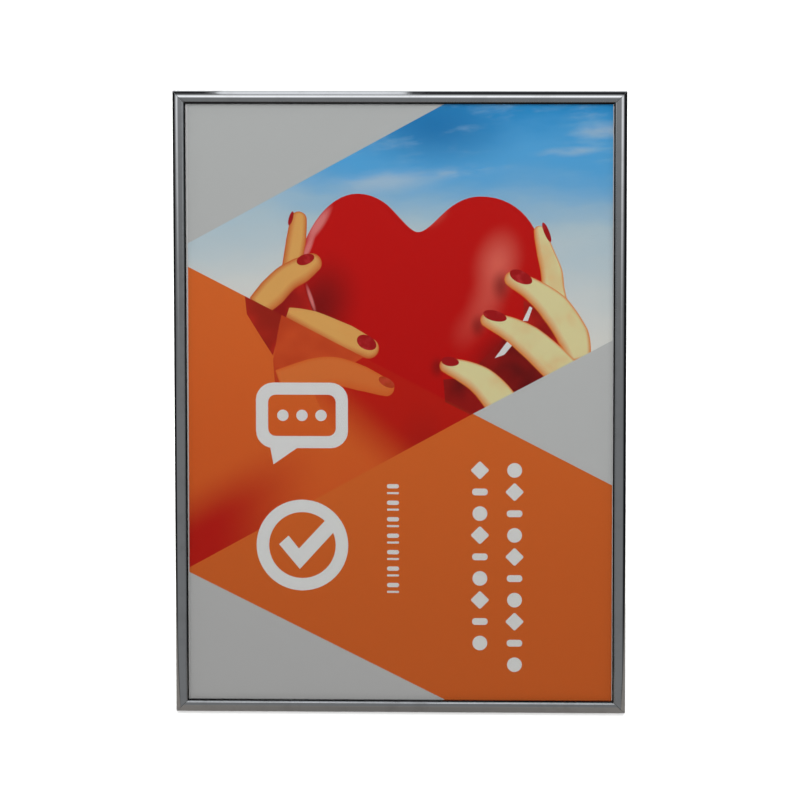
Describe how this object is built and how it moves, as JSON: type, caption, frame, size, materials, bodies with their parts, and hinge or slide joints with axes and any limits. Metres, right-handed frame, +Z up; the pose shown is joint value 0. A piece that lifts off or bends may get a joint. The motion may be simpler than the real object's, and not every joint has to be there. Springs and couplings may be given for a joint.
{
  "type": "sandwich board",
  "caption": "Folding A-shaped sandwich board with snap-open mitred chrome poster frames on both sides, hinged near the top and held open by slotted stays.",
  "frame": {"origin": "on the ground, under the middle of the open board's outline", "axes": "+Z up; the front poster leaf faces -Y; +X is to the right seen from the front"},
  "size_m": [0.52, 0.3624, 0.7065],
  "materials": {
    "chrome_cover": "bright polished",
    "base_rail": "satin anodised",
    "spring_steel": "bright spring strip",
    "corner_key": "zinc plated",
    "backing_panel": "fine matt",
    "clear_sheet": "clear, low glare",
    "rubber_foot": "matt moulded",
    "hinge_steel": "zinc plated",
    "pin_steel": "bright",
    "stay_steel": "zinc plated",
    "poster_front": "printed, satin",
    "poster_rear": "printed, satin"
  },
  "bodies": {
    "front_leaf": {"front_base_rail_bottom": "base_rail", "front_leaf_spring_bottom": "spring_steel", "front_corner_key_bottom_left": "corner_key", "front_base_rail_right": "base_rail", "front_leaf_spring_right": "spring_steel", "front_corner_key_bottom_right": "corner_key", "front_base_rail_top": "base_rail", "front_leaf_spring_top": "spring_steel", "front_corner_key_top_right": "corner_key", "front_base_rail_left": "base_rail", "front_leaf_spring_left": "spring_steel", "front_corner_key_top_left": "corner_key", "front_backing_panel": "backing_panel", "front_poster": "poster_front", "front_clear_cover_sheet": "clear_sheet", "front_foot_left": "rubber_foot", "front_foot_right": "rubber_foot", "front_hinge_plate_left": "hinge_steel", "hinge_pin_left": "pin_steel", "front_stay_bracket_left": "stay_steel", "stay_pivot_rivet_left": "pin_steel", "front_hinge_plate_right": "hinge_steel", "hinge_pin_right": "pin_steel", "front_stay_bracket_right": "stay_steel", "stay_pivot_rivet_right": "pin_steel"},
    "rear_leaf": {"rear_base_rail_bottom": "base_rail", "rear_leaf_spring_bottom": "spring_steel", "rear_corner_key_bottom_left": "corner_key", "rear_base_rail_right": "base_rail", "rear_leaf_spring_right": "spring_steel", "rear_corner_key_bottom_right": "corner_key", "rear_base_rail_top": "base_rail", "rear_leaf_spring_top": "spring_steel", "rear_corner_key_top_right": "corner_key", "rear_base_rail_left": "base_rail", "rear_leaf_spring_left": "spring_steel", "rear_corner_key_top_left": "corner_key", "rear_backing_panel": "backing_panel", "rear_poster": "poster_rear", "rear_clear_cover_sheet": "clear_sheet", "rear_foot_left": "rubber_foot", "rear_foot_right": "rubber_foot", "rear_hinge_plate_left": "hinge_steel", "rear_stay_bracket_left": "stay_steel", "stay_slot_stud_left": "pin_steel", "rear_hinge_plate_right": "hinge_steel", "rear_stay_bracket_right": "stay_steel", "stay_slot_stud_right": "pin_steel"},
    "front_snap_cover_bottom": {"front_snap_cover_bottom": "chrome_cover"},
    "front_snap_cover_right": {"front_snap_cover_right": "chrome_cover"},
    "front_snap_cover_top": {"front_snap_cover_top": "chrome_cover"},
    "front_snap_cover_left": {"front_snap_cover_left": "chrome_cover"},
    "slotted_stay_left": {"slotted_stay_left": "stay_steel"},
    "slotted_stay_right": {"slotted_stay_right": "stay_steel"},
    "rear_snap_cover_bottom": {"rear_snap_cover_bottom": "chrome_cover"},
    "rear_snap_cover_right": {"rear_snap_cover_right": "chrome_cover"},
    "rear_snap_cover_top": {"rear_snap_cover_top": "chrome_cover"},
    "rear_snap_cover_left": {"rear_snap_cover_left": "chrome_cover"}
  },
  "joints": [
    {"name": "leaf_fold", "type": "hinge", "parent": "front_leaf", "child": "rear_leaf", "pos_m": [0, -0.0166, 0.69815], "axis": [-1, 0, 0], "range_deg": [0, 26.61]},
    {"name": "stay_left_pivot", "type": "hinge", "parent": "front_leaf", "child": "slotted_stay_left", "pos_m": [-0.234, -0.03219, 0.62479], "axis": [-1, 0, 0], "range_deg": [0, 33.38]},
    {"name": "stay_right_pivot", "type": "hinge", "parent": "front_leaf", "child": "slotted_stay_right", "pos_m": [0.234, -0.03219, 0.62479], "axis": [-1, 0, 0], "range_deg": [0, 33.38]},
    {"name": "front_cover_bottom_open", "type": "hinge", "parent": "front_leaf", "child": "front_snap_cover_bottom", "pos_m": [-0.01, -0.17352, 0.00319], "axis": [1, 0, 0], "range_deg": [0, 90]},
    {"name": "front_cover_right_open", "type": "hinge", "parent": "front_leaf", "child": "front_snap_cover_right", "pos_m": [0.2584, -0.12187, 0.24616], "axis": [0, 0.2079, 0.9781], "range_deg": [0, 90]},
    {"name": "front_cover_top_open", "type": "hinge", "parent": "front_leaf", "child": "front_snap_cover_top", "pos_m": [0.01, -0.02448, 0.70432], "axis": [-1, 0, 0], "range_deg": [0, 90]},
    {"name": "front_cover_left_open", "type": "hinge", "parent": "front_leaf", "child": "front_snap_cover_left", "pos_m": [-0.2584, -0.07613, 0.46135], "axis": [0, -0.2079, -0.9781], "range_deg": [0, 90]},
    {"name": "rear_cover_bottom_open", "type": "hinge", "parent": "rear_leaf", "child": "rear_snap_cover_bottom", "pos_m": [0.01, 0.17379, 0.00331], "axis": [-1, 0, 0], "range_deg": [0, 90]},
    {"name": "rear_cover_right_open", "type": "hinge", "parent": "rear_leaf", "child": "rear_snap_cover_right", "pos_m": [-0.2584, 0.11115, 0.24368], "axis": [0, -0.2522, 0.9677], "range_deg": [0, 90]},
    {"name": "rear_cover_top_open", "type": "hinge", "parent": "rear_leaf", "child": "rear_snap_cover_top", "pos_m": [-0.01, -0.00698, 0.69694], "axis": [1, 0, 0], "range_deg": [0, 90]},
    {"name": "rear_cover_left_open", "type": "hinge", "parent": "rear_leaf", "child": "rear_snap_cover_left", "pos_m": [0.2584, 0.05566, 0.45656], "axis": [0, 0.2522, -0.9677], "range_deg": [0, 90]}
  ],
  "couplings": [
    {"joint": "stay_left_pivot", "follows": "leaf_fold", "ratio": 1.254},
    {"joint": "stay_right_pivot", "follows": "leaf_fold", "ratio": 1.254}
  ]
}
